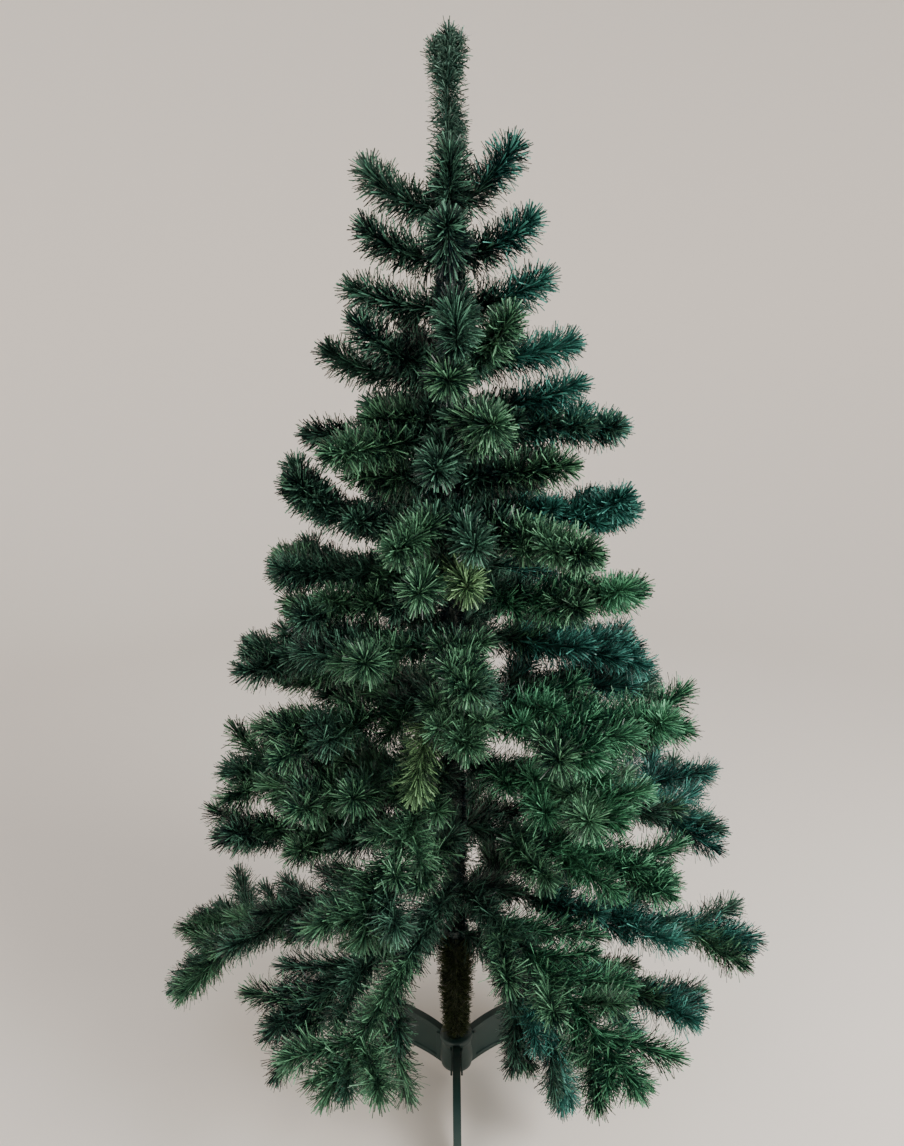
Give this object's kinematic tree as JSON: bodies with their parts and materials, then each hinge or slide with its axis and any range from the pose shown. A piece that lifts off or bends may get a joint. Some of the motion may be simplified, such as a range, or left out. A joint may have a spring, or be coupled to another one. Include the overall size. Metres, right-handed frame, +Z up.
{
  "type": "artificial christmas tree",
  "caption": "Undecorated artificial christmas tree with wired needle branches in tiers on a steel pole, held by a plastic stand with arched legs.",
  "frame": {"origin": "on the floor under the pole's centre line", "axes": "+Z up the pole, -Y towards the front leg and the viewer of the picture, +X to the viewer's right"},
  "size_m": [1.0724, 0.8616, 1.8012],
  "materials": {
    "needles": "cut plastic film needles, deep green, slightly glossy",
    "sleeve_needles": "short cut film needles, brownish green",
    "pole_steel": "dark green paint, satin",
    "stand_plastic": "dark green moulded plastic, fine grain"
  },
  "bodies": {
    "root": {"branch_09_a": "needles", "branch_09_b": "needles", "branch_09_c": "needles", "branch_09_d": "needles", "branch_09_e": "needles", "branch_10_a": "needles", "branch_10_b": "needles", "branch_10_c": "needles", "branch_10_d": "needles", "branch_11_a": "needles", "branch_11_b": "needles", "branch_11_c": "needles", "branch_11_d": "needles", "branch_11_e": "needles", "branch_11_f": "needles", "branch_12_a": "needles", "branch_12_b": "needles", "branch_12_c": "needles", "branch_12_d": "needles", "branch_12_e": "needles", "branch_12_f": "needles", "branch_12_g": "needles", "branch_13_a": "needles", "branch_13_b": "needles", "branch_13_c": "needles", "branch_13_d": "needles", "branch_13_e": "needles", "branch_13_f": "needles", "branch_14_a": "needles", "branch_14_b": "needles", "branch_14_c": "needles", "branch_14_d": "needles", "branch_14_e": "needles", "branch_15_a": "needles", "branch_15_b": "needles", "branch_15_c": "needles", "branch_15_d": "needles", "branch_15_e": "needles", "branch_15_f": "needles", "branch_15_g": "needles", "branch_16_a": "needles", "branch_16_b": "needles", "branch_16_c": "needles", "branch_16_d": "needles", "branch_16_e": "needles", "leader": "needles", "pole": "pole_steel", "pole_needle_sleeve": "sleeve_needles", "stand_hub": "stand_plastic", "stand_leg_front": "stand_plastic", "stand_leg_left": "stand_plastic", "stand_leg_right": "stand_plastic", "whorl_01": "needles", "whorl_02": "needles", "whorl_03": "needles", "whorl_04": "needles", "whorl_05": "needles", "whorl_06": "needles", "whorl_07": "needles", "whorl_08": "needles"}
  },
  "joints": []
}
